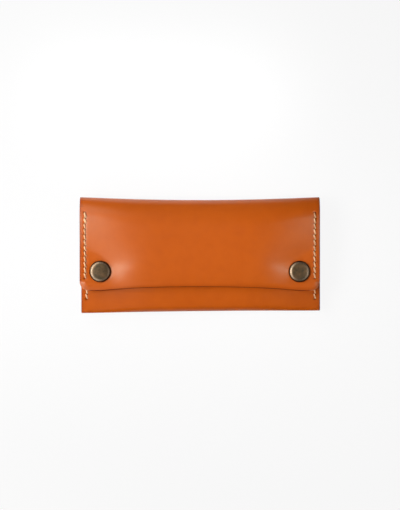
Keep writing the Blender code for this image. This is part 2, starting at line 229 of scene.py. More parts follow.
edgeLook = {
    # dark burnished edge, darkened further as painted shade for the line under the flap's lower edge
    "colour": (0.300, 0.046, 0.006),
    "dark": (0.200, 0.028, 0.004),
    "layerScale": 700.0,
    "layerStretch": (0.12, 0.12, 1.0),
    "bump": (0.25, 0.12),
    "roughness": 0.50,
    "specular": 0.10,
}


def makeBurnishedAndShadedEdge():
    material, tree, shader = startMaterial("burnishedAndShadedEdge")
    coords = objectCoords(tree)
    stretch = addNode(tree, "ShaderNodeMapping", {"Scale": edgeLook["layerStretch"]})
    tree.links.new(coords, stretch.inputs["Vector"])
    layers = noiseOn(tree, stretch.outputs["Vector"], edgeLook["layerScale"], 4.0)
    colour = mixColours(tree, spreadOut(tree, layers, 0.38, 0.66), edgeLook["colour"], edgeLook["dark"])
    # painted highlight on the corners' cut edges
    colour = mixColours(tree, readAttribute(tree, "paintedHighlight"), colour, grainLook["paintedHighlight"])
    tree.links.new(colour, shader.inputs["Base Color"])
    addBump(tree, shader, layers, *edgeLook["bump"])
    shader.inputs["Roughness"].default_value = edgeLook["roughness"]
    shader.inputs["Specular IOR Level"].default_value = edgeLook["specular"]
    return material


liningLook = {
    "colour": (0.470, 0.190, 0.070),
    "dark": (0.360, 0.130, 0.045),
    "cloudScale": 60.0,
    "grainScale": 1100.0,
    "bump": (0.35, 0.15),
    "roughness": 0.68,
}


def makeLiningLeather():
    material, tree, shader = startMaterial("liningLeather")
    coords = objectCoords(tree)
    clouds = spreadOut(tree, noiseOn(tree, coords, liningLook["cloudScale"], 4.0), 0.35, 0.68)
    values = {"Scale": liningLook["grainScale"]}
    grain = addNode(tree, "ShaderNodeTexVoronoi", values, feature="SMOOTH_F1")
    tree.links.new(coords, grain.inputs["Vector"])
    colour = mixColours(tree, clouds, liningLook["colour"], liningLook["dark"])
    # painted shade in the stitch holes, as on the grain side
    colour = mixColours(tree, readAttribute(tree, "pressedAndShade"), colour, grainLook["pressedAndShade"])
    tree.links.new(colour, shader.inputs["Base Color"])
    addBump(tree, shader, grain.outputs["Distance"], *liningLook["bump"])
    shader.inputs["Roughness"].default_value = liningLook["roughness"]
    return material


threadLook = {
    "colour": (1.000, 0.680, 0.400),
    "shade": (0.880, 0.480, 0.220),
    "paintedEndShade": (0.420, 0.095, 0.012),  # painted shade where it goes into the holes
    "fibreScale": 2600.0,
    "bump": (0.3, 0.05),
    "roughness": 0.5,
    "specular": 0.15,
}


def makeWaxedThread():
    material, tree, shader = startMaterial("waxedThread")
    coords = objectCoords(tree)
    fibres = noiseOn(tree, coords, threadLook["fibreScale"], 3.0)
    fuzz = spreadOut(tree, fibres, 0.45, 0.75, 0.0, 0.5)
    colour = mixColours(tree, fuzz, threadLook["colour"], threadLook["shade"])
    colour = mixColours(tree, readAttribute(tree, "groove"), colour, threadLook["shade"])
    # painted shade at the thread's ends
    colour = mixColours(tree, readAttribute(tree, "paintedEndShade"), colour, threadLook["paintedEndShade"])
    tree.links.new(colour, shader.inputs["Base Color"])
    addBump(tree, shader, fibres, *threadLook["bump"])
    shader.inputs["Roughness"].default_value = threadLook["roughness"]
    shader.inputs["Specular IOR Level"].default_value = threadLook["specular"]
    return material


brassLook = {
    "patina": (0.075, 0.055, 0.026),
    "brown": (0.200, 0.110, 0.048),
    # worn brass, on the caps' bevel also a painted highlight
    "wearAndPaintedLight": (0.520, 0.390, 0.270),
    # caps' dark rim: dirt and painted shade
    "dirtAndShade": (0.045, 0.012, 0.003),
    "cloudScale": 300.0,
    "brushScale": 1800.0,
    "bump": (0.14, 0.05),
    "roughness": (0.34, 0.48),
    "specular": (0.05, 0.5),   # dirt and painted shade, patina
}


def makeAntiqueBrass():
    material, tree, shader = startMaterial("antiqueBrass")
    coords = objectCoords(tree)
    clouds = spreadOut(tree, noiseOn(tree, coords, brassLook["cloudScale"], 4.0), 0.35, 0.68)
    brushing = noiseOn(tree, coords, brassLook["brushScale"], 4.0, 0.65)
    colour = mixColours(tree, clouds, brassLook["patina"], brassLook["brown"])
    wearAndPaintedLight = readAttribute(tree, "wearAndPaintedLight")
    wear = calculate(tree, "MULTIPLY", wearAndPaintedLight, spreadOut(tree, brushing, 0.3, 0.6))
    colour = mixColours(tree, wear, colour, brassLook["wearAndPaintedLight"])
    colour = mixColours(tree, calculate(tree, "MULTIPLY", wearAndPaintedLight, -1.0), colour, brassLook["dirtAndShade"])
    tree.links.new(colour, shader.inputs["Base Color"])
    rough = spreadOut(tree, brushing, 0.3, 0.7, *brassLook["roughness"])
    tree.links.new(rough, shader.inputs["Roughness"])
    tree.links.new(spreadOut(tree, wearAndPaintedLight, -1.0, 1.0), shader.inputs["Metallic"])  # patina is half oxide
    shine = spreadOut(tree, wearAndPaintedLight, -1.0, 0.0, *brassLook["specular"])
    tree.links.new(shine, shader.inputs["Specular IOR Level"])
    addBump(tree, shader, brushing, *brassLook["bump"])
    return material


steelLook = {
    "colour": (0.47, 0.45, 0.42),
    "dark": (0.30, 0.28, 0.25),
    "drawnScale": 2200.0,
    "roughness": (0.25, 0.40),
}


def makeSpringSteel():
    material, tree, shader = startMaterial("springSteel")
    drawn = noiseOn(tree, objectCoords(tree), steelLook["drawnScale"], 3.0)
    colour = mixColours(tree, spreadOut(tree, drawn, 0.35, 0.7), steelLook["colour"], steelLook["dark"])
    tree.links.new(colour, shader.inputs["Base Color"])
    rough = spreadOut(tree, drawn, 0.3, 0.7, *steelLook["roughness"])
    tree.links.new(rough, shader.inputs["Roughness"])
    shader.inputs["Metallic"].default_value = 1.0
    return material


grainLeather = makeGrainLeather("grainLeather", grainLook["gloss"])
handledLeather = makeGrainLeather("handledLeather", grainLook["handledGloss"])
fleshLeather = makeFleshLeather()
burnishedAndShadedEdge = makeBurnishedAndShadedEdge()
liningLeather = makeLiningLeather()
waxedThread = makeWaxedThread()
antiqueBrass = makeAntiqueBrass()
springSteel = makeSpringSteel()
print("materials made")


# shape of the case, in millimetres: X along it, Y to the top fold, Z out of the flap
case = {
    "halfWidth": 83.0,
    "halfHeight": 39.9,
    "depth": 21.2,         # of the filled pocket, in the middle
    "flat": 28.0,          # half of the stretch that has the full depth
    "sideLift": 7.0,       # back's side edges above the table
    "seamX": 78.5,
    "seamFront": 11.0,
    "seamRoll": 2.0,
    "mouth": 22.9,
    "topDrawIn": 2.0,
    "bottomDrawIn": 0.4,
    "drawInPower": 1.1,
    "bottomTilt": 0.9,     # bottom fold drops this far at the left and rises at the right
    "lean": 0.6,           # pocket's lower part sits this far to the right of the flap
    "leanLow": -25.0,      # full below this, and fading out above it
    "leanReach": 30.0,
    "leather": 1.8,
    "hinge": 11.5,         # height of the top fold's crest
    "crestFlat": 0.75,
    "backRoll": (4.5, 12.0),  # at the side, in the middle
    "flapRoll": (14.0, 21.0),
    "bottomRoll": (2.0, 9.0),
    "bottomCrest": (9.0, 6.0),
    "frontRoll": 4.6,
    "wedge": 1.22,         # front's fullness towards the mouth, 1 is a straight slope
    "shoulderRise": 0.8,
    "shoulderOuter": 75.3,
    "shoulderInner": 62.3,
    "snapLow": -18.0,      # below this the front is free of the snaps
    "snapEase": 9.0,
    "lowSlack": 0.5,       # share of the fill that is lost there
    "join": 20.0,          # where the back's leather meets the top roll's
}
flap = {
    "side": 19.4,
    "middle": 25.3,
    "low": -25.1,
    "drawIn": 2.6,
    "corner": 6.5,
    "faceDepth": 1.0,      # upper face lies above the side's height less this
    "sheetDepth": 3.5,     # and the lower face above it less this
    "droop": 0.95,         # how closely the flap follows a pocket of this fullness
    "wedge": 1.45,
    "flat": 20.0,
    "easyPower": 1.55,     # how late the flap takes its fall to the sides
    "snapPower": 0.9,      # later at the snaps
    "snapReach": 11.0,
    "shoulder": 63.0,      # where the fall ends beside the snaps
    "bendStart": 2.7,      # above the snaps' middle, that place moves out
    "widening": 40.0,
    "wideningReach": 17.0,
    "archPower": 2.4,      # lower edge, 2 is a parabola
    "paring": 1.1,         # how far the lower edge's face rolls down
    "margin": 4.5,
    "underParing": 0.2,
    "highlightStart": 74.0,      # painted highlight on the corners from here out
    "highlightTop": -11.0,
    "highlightEase": 4.0,
    "highlightShare": 0.6,
    "highlightReach": 0.6,       # in from the edge
    "lining": 0.8,
    "plyGap": 0.1,
    "liningInset": 0.8,
    "liningAngle": 45.0,   # how far round the top roll the lining ends
    "liningPress": 0.8,    # share of the stitches' press that shows on the lining
}
snap = {
    "x": 68.8,
    "y": -11.7,
    "seat": 11.8,
    "cap": 7.5,
    "dimpleStart": 0.6,    # leather dips from this far inside the cap's edge
    "dimples": ((0.28, 2.2), (0.15, 9.0)),  # depth and reach, close to the cap and wide
}
stitch = {
    "x": 79.3,
    "flapRow": (28.9, -16.4, 12),  # first hole, last hole, stitches
    "pocketRow": (20.9, -30.9, 14),
    "thread": 0.49,        # radius
    "slant": 0.60,         # each end to the side of the row
    "rise": 0.16,          # thread's middle above the leather
    "dive": 1.15,
    "holeDepth": 0.42,
    "holeWidth": 1.0,
    "holeLength": 0.70,
    "channel": 0.14,       # depth of the groove along the row
    "channelWidth": 0.75,
    "channelEnd": 1.0,
}
sheet = {
    "wideEnd": 77.5,       # columns are spaced widely as far as this
    "wideColumns": 62,
    "closeEnd": 81.9,      # and closely along the stitching
    "closeColumns": 11,
    "pocketRows": 206,
    "flapRows": 176,
    "liningRows": 100,
    "bottomSteps": 24,     # points of the paths, along each roll and face
    "frontSteps": 40,
    "flapSteps": 90,
    "topSteps": 30,
    "rim": (0.55, 3),      # rounding of the cut edges and its segments
    "liningRim": (0.2, 2),
    "rimAngle": 55.0,
    "smoothAngle": 38.0,
    "seamStrip": 76.5,     # stitches press the leather outside this
    "pocketFace": 0.5,     # points this near to a face's height are on it
    "flapFace": 0.6,
    "liningFace": 0.3,
    "edgeReach": 1.6,      # how far in the edges are dark
    "edgeDepth": 2.2,
    "mouthShare": 0.6,
    "lowShare": 0.5,
}
flapPlies = case["leather"] + flap["plyGap"] + flap["lining"]
seamPlies = case["seamFront"] - case["sideLift"]


def between(pair, amount):  # from a (side, middle) pair
    return pair[0] + (pair[1] - pair[0]) * amount


def drawnIn(x, depth):
    return depth * max(0.0, 1 - (x / case["halfWidth"]) ** 2) ** case["drawInPower"]


def lean(y):
    return case["lean"] * (1 - ease((y - case["leanLow"]) / case["leanReach"]))


def fullness(x):
    return fade(x, case["flat"], case["seamX"])


def freeOfSnaps(y):  # 0 beside the snaps, 1 well below them
    return ease((case["snapLow"] - y) / case["snapEase"])


def pocketHump(x, y):  # narrower beside the snaps, which press the front flat
    outer = case["shoulderInner"] + (case["seamX"] - case["shoulderInner"]) * freeOfSnaps(y)
    return fade(x, case["flat"], outer)


def topEdge(x):
    return case["halfHeight"] - drawnIn(x, case["topDrawIn"])


def bottomEdge(x):
    tilt = case["bottomTilt"] * x / case["halfWidth"]
    return -case["halfHeight"] + drawnIn(x, case["bottomDrawIn"]) + tilt


def backHeight(x):
    return case["sideLift"] * (1 - fullness(x))


def seatHeight(x, y):  # front beside the seams, before the pocket's fill lifts it
    inner = case["shoulderOuter"] + (case["flat"] - case["shoulderOuter"]) * freeOfSnaps(y)
    return case["seamFront"] + case["shoulderRise"] * fade(x, inner, case["seamX"])


def frontRoll(x):
    shoulder = fade(x, case["shoulderOuter"], case["seamX"])
    return case["seamRoll"] + (case["frontRoll"] - case["seamRoll"]) * shoulder


def wedge(x, y, power):  # 0 at the bottom fold, 1 at the mouth
    bottom = bottomEdge(x)
    return rise((y - bottom) / (case["mouth"] - bottom), power)


def frontHeight(x, y):
    crest = between(case["bottomCrest"], fullness(x))
    roll = rise((y - bottomEdge(x)) / frontRoll(x))
    fill = (case["depth"] - snap["seat"]) * pocketHump(x, y) * wedge(x, y, case["wedge"])
    fill *= 1 - case["lowSlack"] * freeOfSnaps(y)
    return crest + (seatHeight(x, y) - crest) * roll + fill


def flapHump(x, y):  # the snaps pull the flap down, and above them its fall moves out to the sides
    above = max(0.0, y - snap["y"] - flap["bendStart"])
    shoulder = flap["shoulder"] + flap["widening"] * (1 - bell(above, flap["wideningReach"]))
    out = (abs(x) - flap["flat"]) / (shoulder - flap["flat"])
    power = flap["easyPower"] + flap["snapPower"] * bell(y - snap["y"], flap["snapReach"])
    return 1 - ease(min(max(out, 0.0), 1.0) ** power)


def flapHeight(x, y):
    start = case["hinge"] + case["crestFlat"]
    droop = flap["droop"] * (case["depth"] - snap["seat"]) * (1 - wedge(x, y, flap["wedge"]))
    cover = flap["side"] + (flap["middle"] - flap["side"] - droop) * flapHump(x, y)
    return start + (cover - start) * rise((topEdge(x) - y) / between(case["flapRoll"], fullness(x)))


def flapEdge(x):
    return flap["low"] + flap["drawIn"] * max(0.0, 1 - abs(x / snap["x"]) ** flap["archPower"])


def flapInward(x, y):  # distance in from the lower edge and its rounded corners
    p = abs(x) - case["halfWidth"] + flap["corner"]
    q = flapEdge(x) + flap["corner"] - y
    if p > 0 and q > 0:
        return flap["corner"] - math.hypot(p, q)
    return y - flapEdge(x)


def sweep(start, stop, steps):
    return [start + (stop - start) * i / steps for i in range(steps + 1)]


def pocketPath(x):  # from the join on the back, round the bottom fold and up to the mouth
    bottom = bottomEdge(x)
    back = backHeight(x)
    crest = between(case["bottomCrest"], fullness(x))
    roll = between(case["bottomRoll"], fullness(x))
    path = [(case["join"], back)]
    for angle in sweep(0, math.pi / 2, sheet["bottomSteps"]):
        path.append((bottom + roll * (1 - math.sin(angle)), crest - (crest - back) * math.cos(angle)))
    rolled = bottom + frontRoll(x)
    for angle in sweep(0, math.pi / 2, sheet["bottomSteps"])[1:]:
        y = bottom + frontRoll(x) * (1 - math.cos(angle))
        path.append((y, frontHeight(x, y)))
    for y in sweep(rolled, case["mouth"], sheet["frontSteps"])[1:]:
        path.append((y, frontHeight(x, y)))
    return path


def flapPath(x, inset=0.0, topAngle=0.0):  # from the lower edge up over the top roll
    top = topEdge(x)
    roll = between(case["flapRoll"], fullness(x))
    path = []
    for y in sweep(flapEdge(x) + inset, top - roll, sheet["flapSteps"]):
        path.append((y, flapHeight(x, y)))
    for angle in sweep(math.pi / 2, topAngle, sheet["topSteps"])[1:]:
        y = top - roll * (1 - math.cos(angle))
        path.append((y, flapHeight(x, y)))
    return path


def backPath(x):  # from the crest of the top roll down to the join on the back
    top = topEdge(x)
    back = backHeight(x)
    roll = between(case["backRoll"], fullness(x))
    start = case["hinge"] - case["crestFlat"]
    path = []
    for angle in sweep(0, math.pi / 2, sheet["topSteps"]):
        path.append((top - roll * (1 - math.cos(angle)), start - (start - back) * math.sin(angle)))
    return path + [(case["join"], back)]


def evenPoints(path, count):  # the same path as equal steps
    lengths = [0.0]
    for a, b in zip(path, path[1:]):
        lengths.append(lengths[-1] + math.dist(a, b))
    points = []
    k = 0
    for i in range(count + 1):
        want = lengths[-1] * i / count
        while k < len(path) - 2 and lengths[k + 1] < want:
            k += 1
        t = (want - lengths[k]) / max(lengths[k + 1] - lengths[k], 1e-9)
        points.append(tuple(a + (b - a) * t for a, b in zip(path[k], path[k + 1])))
    return points


def columnPlaces(halfWidth):
    half = sweep(0, sheet["wideEnd"], sheet["wideColumns"])[1:]
    half += sweep(sheet["wideEnd"], sheet["closeEnd"], sheet["closeColumns"])[1:]
    half.append(halfWidth)
    return [-x for x in reversed(half)] + [0.0] + half


def roundCorner(x, y, low, halfWidth, radius):  # bends the sheet's square lower corners to an arc
    p = (abs(x) - (halfWidth - radius)) / radius
    q = (low + radius - y) / radius
    if p <= 0 or q <= 0:
        return x, y
    newP = p * math.sqrt(1 - q * q / 2)
    newQ = q * math.sqrt(1 - p * p / 2)
    return math.copysign(halfWidth - radius + newP * radius, x), low + radius - newQ * radius


# leather sheets

def startSheet(name, columns, paths, materials):  # grain side, flesh side and cut edges
    rows = len(paths[0]) - 1
    deselectAll()
    bpy.ops.mesh.primitive_grid_add(x_subdivisions=len(columns) - 1, y_subdivisions=rows, size=1)
    piece = bpy.context.object
    piece.name = piece.data.name = name
    for vertex in piece.data.vertices:
        i = round((vertex.co.x + 0.5) * (len(columns) - 1))
        j = round((vertex.co.y + 0.5) * rows)
        vertex.co = Vector(paths[i][j]) * mm
    for material in materials:
        piece.data.materials.append(material)
    return piece


def thicken(piece, thickness, depth=0.0):
    makeActive(piece)
    bpy.ops.object.modifier_add(type="SOLIDIFY")
    wall = piece.modifiers[-1]
    wall.thickness = thickness * mm
    wall.offset = -1 - 2 * depth / thickness
    wall.use_even_offset = True
    wall.material_offset = 1
    wall.material_offset_rim = 2
    bpy.ops.object.modifier_apply(modifier=wall.name)


def roundRims(piece, width, segments):  # not at the join, where the leather runs on
    sharp = math.radians(sheet["rimAngle"])
    makeActive(piece)
    bpy.ops.object.mode_set(mode="EDIT")
    bpy.ops.mesh.select_mode(type="EDGE")
    bpy.ops.mesh.select_all(action="DESELECT")
    mesh = bmesh.from_edit_mesh(piece.data)
    joinY = case["join"] * mm
    for edge in mesh.edges:
        atJoin = all(abs(v.co.y - joinY) < 1e-5 and v.co.z < 0.01 for v in edge.verts)
        onRim = any(face.material_index == 2 for face in edge.link_faces)
        if onRim and edge.is_manifold and edge.calc_face_angle() > sharp and not atJoin:
            edge.select_set(True)
    bmesh.update_edit_mesh(piece.data)
    bpy.ops.mesh.bevel(offset=width * mm, segments=segments, profile=0.5, affect="EDGES", material=2)
    bpy.ops.object.mode_set(mode="OBJECT")
    bpy.ops.object.shade_smooth_by_angle(angle=math.radians(sheet["smoothAngle"]))


def stitchHoles(row):
    first, last, count = row
    return sweep(first, last, count)


def pressDepth(x, y, holes):  # how far the thread pulls the leather in
    across = abs(x) - stitch["x"]
    nearest = min(abs(y - hole) for hole in holes)
    end = stitch["channelEnd"]
    inRow = ease((holes[0] + end - y) / end) * ease((y - holes[-1] + end) / end)
    hole = stitch["holeDepth"] * bell(across, stitch["holeWidth"]) * bell(nearest, stitch["holeLength"])
    return max(hole, stitch["channel"] * bell(across, stitch["channelWidth"]) * inRow)


def snapDimple(x, y):
    away = math.hypot(abs(x) - snap["x"], y - snap["y"]) - snap["cap"] + snap["dimpleStart"]
    return sum(depth * (1 - ease(away / reach)) for depth, reach in snap["dimples"])


def paintSheet(piece, pressOf, edgeOf):  # stores how pressed each point is, a mask that also carries painted shade in the stitch holes, and how near to an edge it is
    pressedAndShade = piece.data.attributes.new("pressedAndShade", "FLOAT", "POINT")
    nearEdge = piece.data.attributes.new("nearEdge", "FLOAT", "POINT")
    for vertex in piece.data.vertices:
        x, y, z = vertex.co / mm
        pressedAndShade.data[vertex.index].value = min(1.0, pressOf(x, y, z) / stitch["holeDepth"])
        nearEdge.data[vertex.index].value = edgeOf(x, y, z)


def makePocketLeather():
    columns = columnPlaces(case["halfWidth"])
    paths = [[(x, y, z) for y, z in evenPoints(pocketPath(x), sheet["pocketRows"])] for x in columns]
    piece = startSheet("pocketLeather", columns, paths, (grainLeather, fleshLeather, burnishedAndShadedEdge))
    thicken(piece, case["leather"])
    roundRims(piece, *sheet["rim"])
    holes = stitchHoles(stitch["pocketRow"])
    seamMiddle = (case["seamFront"] + case["sideLift"]) / 2

    def pressOf(x, y, z):
        fromFace = min(abs(z - case["seamFront"]), abs(z - case["sideLift"]))
        onFace = abs(x) > sheet["seamStrip"] and fromFace < sheet["pocketFace"]
        return pressDepth(x, y, holes) if onFace else 0.0

    def edgeOf(x, y, z):
        dark = bell(case["halfWidth"] - abs(x), sheet["edgeReach"])
        if z > case["seamFront"] - sheet["edgeDepth"]:
            dark = max(dark, sheet["mouthShare"] * bell(case["mouth"] - y, sheet["edgeReach"]))
        return dark

    paintSheet(piece, pressOf, edgeOf)
    for vertex in piece.data.vertices:
        x, y, z = vertex.co / mm
        depth = pressOf(x, y, z)
        vertex.co.z += math.copysign(depth, seamMiddle - z) * mm
        vertex.co.x += lean(y) * mm
    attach(piece, "pocket")
    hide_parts("pocket_shell")


def makeFlapLeather():
    columns = columnPlaces(case["halfWidth"])
    paths = []
    for x in columns:
        path = []
        for y, z in evenPoints(flapPath(x) + backPath(x), sheet["flapRows"]):
            place = (x, y)
            if z > flap["side"] - flap["faceDepth"]:
                place = roundCorner(x, y, flapEdge(x), case["halfWidth"], flap["corner"])
            path.append((*place, z))
        paths.append(path)
    piece = startSheet("flapLeather", columns, paths, (handledLeather, fleshLeather, burnishedAndShadedEdge))
    thicken(piece, case["leather"])
    roundRims(piece, *sheet["rim"])
    holes = stitchHoles(stitch["flapRow"])

    def pressOf(x, y, z):
        onFace = abs(x) > sheet["seamStrip"] and abs(z - flapHeight(x, y)) < sheet["flapFace"]
        return pressDepth(x, y, holes) if onFace else 0.0

    def edgeOf(x, y, z):
        dark = bell(case["halfWidth"] - abs(x), sheet["edgeReach"])
        if z > flap["side"] - sheet["edgeDepth"]:
            dark = max(dark, sheet["lowShare"] * bell(flapInward(x, y), sheet["edgeReach"]))
        return dark

    paintSheet(piece, pressOf, edgeOf)
    paintedHighlight = piece.data.attributes.new("paintedHighlight", "FLOAT", "POINT")
    for vertex in piece.data.vertices:
        x, y, z = vertex.co / mm
        depth = pressOf(x, y, z)
        if z > flap["side"] - flap["sheetDepth"]:
            inward = min(max(flapInward(x, y), 0.0), flap["margin"])
            # painted highlight along the lower corners' edges
            atCorner = ease((abs(x) - flap["highlightStart"]) / flap["highlightEase"])
            atCorner *= ease((flap["highlightTop"] - y) / flap["highlightEase"])
            cornerHighlight = flap["highlightShare"] * bell(inward, flap["highlightReach"]) * atCorner
            paintedHighlight.data[vertex.index].value = cornerHighlight
            onTop = z > flapHeight(x, y) - case["leather"] / 2
            paring = flap["paring"] if onTop else flap["underParing"]
            depth += snapDimple(x, y) + paring * (1 - inward / flap["margin"]) ** 2
        vertex.co.z -= depth * mm
    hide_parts("flap_leather")
    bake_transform(piece)


def makeFlapLining():
    halfWidth = case["halfWidth"] - flap["liningInset"]
    columns = columnPlaces(halfWidth)
    topAngle = math.radians(flap["liningAngle"])
    paths = []
    for x in columns:
        path = []
        low = flapEdge(x) + flap["liningInset"]
        for y, z in evenPoints(flapPath(x, flap["liningInset"], topAngle), sheet["liningRows"]):
            place = roundCorner(x, y, low, halfWidth, flap["corner"] - flap["liningInset"])
            path.append((*place, z))
        paths.append(path)
    piece = startSheet("flapLining", columns, paths, (liningLeather, liningLeather, burnishedAndShadedEdge))
    thicken(piece, flap["lining"], case["leather"] + flap["plyGap"])
    roundRims(piece, *sheet["liningRim"])
    holes = stitchHoles(stitch["flapRow"])

    def pressOf(x, y, z):
        fromFace = abs(z - flapHeight(x, y) + flapPlies)
        onFace = abs(x) > sheet["seamStrip"] and fromFace < sheet["liningFace"]
        return pressDepth(x, y, holes) if onFace else 0.0

    paintSheet(piece, pressOf, lambda x, y, z: 0.0)
    for vertex in piece.data.vertices:
        x, y, z = vertex.co / mm
        vertex.co.z += pressOf(x, y, z) * flap["liningPress"] * mm
    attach(piece, "flap")
    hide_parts("flap_lining")


makePocketLeather()
makeFlapLeather()
makeFlapLining()
print("leather sheets made")


# stitching

threadShape = {
    "sides": 10,
    "rings": 15,
    "plies": 2,
    "twist": 2.4,
    "plyDepth": 0.14,
    "divePower": 3.4,      # how late the ends turn down into their holes
    "taper": 0.25,
    "taperPower": 4,
    "step": 0.02,          # for the thread's direction
    "upright": 0.2,
    "endShadeStart": 0.70,     # painted shade from this share of the half length
    "endShadeReach": 0.20,
    "sway": 3.0,           # uneven handwork, in degrees and in length
    "stretch": (0.98, 1.02),
    "secondSide": 0.34,    # second strand of a back-stitched start
    "secondAlong": 0.35,
    "secondLift": 0.22,
    "secondTurn": 5.0,
}


def makeOneStitch(pitch):  # lies along Y with its middle at the origin
    deselectAll()
    bpy.ops.mesh.primitive_cylinder_add(vertices=threadShape["sides"], radius=1, depth=1)
    piece = bpy.context.object
    bpy.ops.object.mode_set(mode="EDIT")
    bpy.ops.mesh.select_mode(type="EDGE")
    bpy.ops.mesh.select_all(action="DESELECT")
    mesh = bmesh.from_edit_mesh(piece.data)
    for edge in mesh.edges:
        if abs(edge.verts[0].co.z - edge.verts[1].co.z) > 0.5:
            edge.select_set(True)
    bmesh.update_edit_mesh(piece.data)
    bpy.ops.mesh.subdivide(number_cuts=threadShape["rings"])
    bpy.ops.object.mode_set(mode="OBJECT")
    groove = piece.data.attributes.new("groove", "FLOAT", "POINT")
    paintedEndShade = piece.data.attributes.new("paintedEndShade", "FLOAT", "POINT")

    def middle(t):
        end = abs(2 * t - 1) ** threadShape["divePower"]
        height = stitch["rise"] - (stitch["rise"] + stitch["dive"]) * end
        return Vector((stitch["slant"] * (2 * t - 1), pitch * (0.5 - t), height))

    for vertex in piece.data.vertices:
        t = vertex.co.z + 0.5
        angle = math.atan2(vertex.co.y, vertex.co.x)
        fromMiddle = abs(2 * t - 1)
        lobe = math.cos(threadShape["plies"] * (angle - threadShape["twist"] * math.pi * t))
        taper = 1 - threadShape["taper"] * fromMiddle ** threadShape["taperPower"]
        radius = stitch["thread"] * (1 + threadShape["plyDepth"] * lobe) * taper
        ahead = middle(min(t + threadShape["step"], 1))
        behind = middle(max(t - threadShape["step"], 0))
        along = (ahead - behind).normalized()
        side = Vector((1, 0, 0))
        if abs(along.y) < threadShape["upright"]:
            side = Vector((0, 1, 0)).cross(along).normalized()
        side = (side - along * side.dot(along)).normalized()
        up = along.cross(side)
        offset = side * math.cos(angle) + up * math.sin(angle)
        vertex.co = (middle(t) + offset * radius) * mm
        groove.data[vertex.index].value = max(0.0, -lobe) ** 2
        # painted shade towards the ends, where the thread dives into its holes
        endShade = ease((fromMiddle - threadShape["endShadeStart"]) / threadShape["endShadeReach"])
        paintedEndShade.data[vertex.index].value = endShade
    makeActive(piece)
    bpy.ops.object.mode_set(mode="EDIT")
    bpy.ops.mesh.select_all(action="SELECT")
    bpy.ops.mesh.normals_make_consistent(inside=False)
    bpy.ops.object.mode_set(mode="OBJECT")
    bpy.ops.object.shade_smooth()
    piece.data.materials.append(waxedThread)
    return piece


def onSurface(height, x, y, depth):  # where a stitch lies and which way is out
    step = 0.5
    slopeX = (height(x + step, y) - height(x - step, y)) / (2 * step)
    slopeY = (height(x, y + step) - height(x, y - step)) / (2 * step)
    out = Vector((-slopeX, -slopeY, 1)).normalized()
    place = Vector((x, y, height(x, y))) - out * depth
    turn = Vector((0, 0, 1)).rotation_difference(out).to_matrix().to_4x4()
    return Matrix.Translation(place * mm) @ turn


def makeStitchRow(name, node, body, side, places, front, thickness, doubled):
    holes = stitchHoles(places)
    pitch = holes[0] - holes[1]
    first = makeOneStitch(pitch)
    handwork = random.Random(name)
    copies = []
    for hole in holes[:-1]:
        for depth, turned in ((0.0, 0.0), (thickness, math.pi)):
            sway = math.radians(handwork.uniform(-threadShape["sway"], threadShape["sway"]))
            stretch = Matrix.Diagonal((1, handwork.uniform(*threadShape["stretch"]), 1, 1))
            place = onSurface(front, side * stitch["x"], hole - pitch / 2, depth)
            shift = Matrix.Translation((lean(hole) * mm if body == "pocket" else 0.0, 0, 0))
            spin = Matrix.Rotation(turned, 4, "Y") @ Matrix.Rotation(sway, 4, "Z")
            copies.append(shift @ place @ spin @ stretch)
    for k in range(doubled):  # back-stitched start, a second strand beside the first
        x = side * stitch["x"] + threadShape["secondSide"]
        y = holes[k] - pitch / 2 + threadShape["secondAlong"]
        place = onSurface(front, x, y, -threadShape["secondLift"])
        copies.append(place @ Matrix.Rotation(math.radians(threadShape["secondTurn"]), 4, "Z"))
    pieces = []
    for matrix in copies:
        copy = first.copy()
        copy.data = first.data.copy()
        copy.data.transform(matrix)
        bpy.context.collection.objects.link(copy)
        pieces.append(copy)
    bpy.data.objects.remove(first)
    deselectAll()
    for piece in pieces:
        piece.select_set(True)
    bpy.context.view_layer.objects.active = pieces[0]
    bpy.ops.object.join()
    row = bpy.context.object
    row.name = row.data.name = name
    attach(row, body)
    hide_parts(node)


for word, side in (("left", -1), ("right", 1)):
    makeStitchRow(word + "FlapStitches", word + "_flap_thread", "flap", side, stitch["flapRow"],
                  flapHeight, flapPlies, 2 if side < 0 else 0)
    makeStitchRow(word + "PocketStitches", word + "_pocket_thread", "pocket", side, stitch["pocketRow"],
                  lambda x, y: case["seamFront"], seamPlies, 0)
print("stitching made")


# snaps, turned about their own middle with heights above the pocket's front

turning = {"bevelSegments": 3, "bevelAngle": 35.0, "smoothAngle": 50.0}


def turnPiece(name, profile, steps, soften):
    points = [Vector((radius, 0, height)) * mm for radius, height in profile]
    deselectAll()
    bpy.ops.mesh.primitive_plane_add(size=0.001)
    piece = bpy.context.object
    piece.name = piece.data.name = name
    bpy.ops.object.mode_set(mode="EDIT")
    bpy.ops.mesh.select_mode(type="VERT")
    bpy.ops.mesh.select_all(action="SELECT")
    bpy.ops.mesh.merge(type="CENTER")
    bpy.ops.transform.translate(value=points[0])
    for a, b in zip(points, points[1:]):
        bpy.ops.mesh.extrude_vertices_move(TRANSFORM_OT_translate={"value": b - a})
    bpy.ops.mesh.select_all(action="SELECT")
    bpy.ops.mesh.spin(steps=steps, angle=2 * math.pi, center=(0, 0, 0), axis=(0, 0, 1))
    bpy.ops.mesh.select_all(action="SELECT")
    bpy.ops.mesh.remove_doubles(threshold=1e-6)
    bpy.ops.mesh.normals_make_consistent(inside=False)
    bpy.ops.object.mode_set(mode="OBJECT")
    if soften:
        bpy.ops.object.modifier_add(type="BEVEL")
        rounding = piece.modifiers[-1]
        rounding.width = soften * mm
        rounding.segments = turning["bevelSegments"]
        rounding.limit_method = "ANGLE"
        rounding.angle_limit = math.radians(turning["bevelAngle"])
        bpy.ops.object.modifier_apply(modifier=rounding.name)
    bpy.ops.object.shade_smooth_by_angle(angle=math.radians(turning["smoothAngle"]))
    return piece


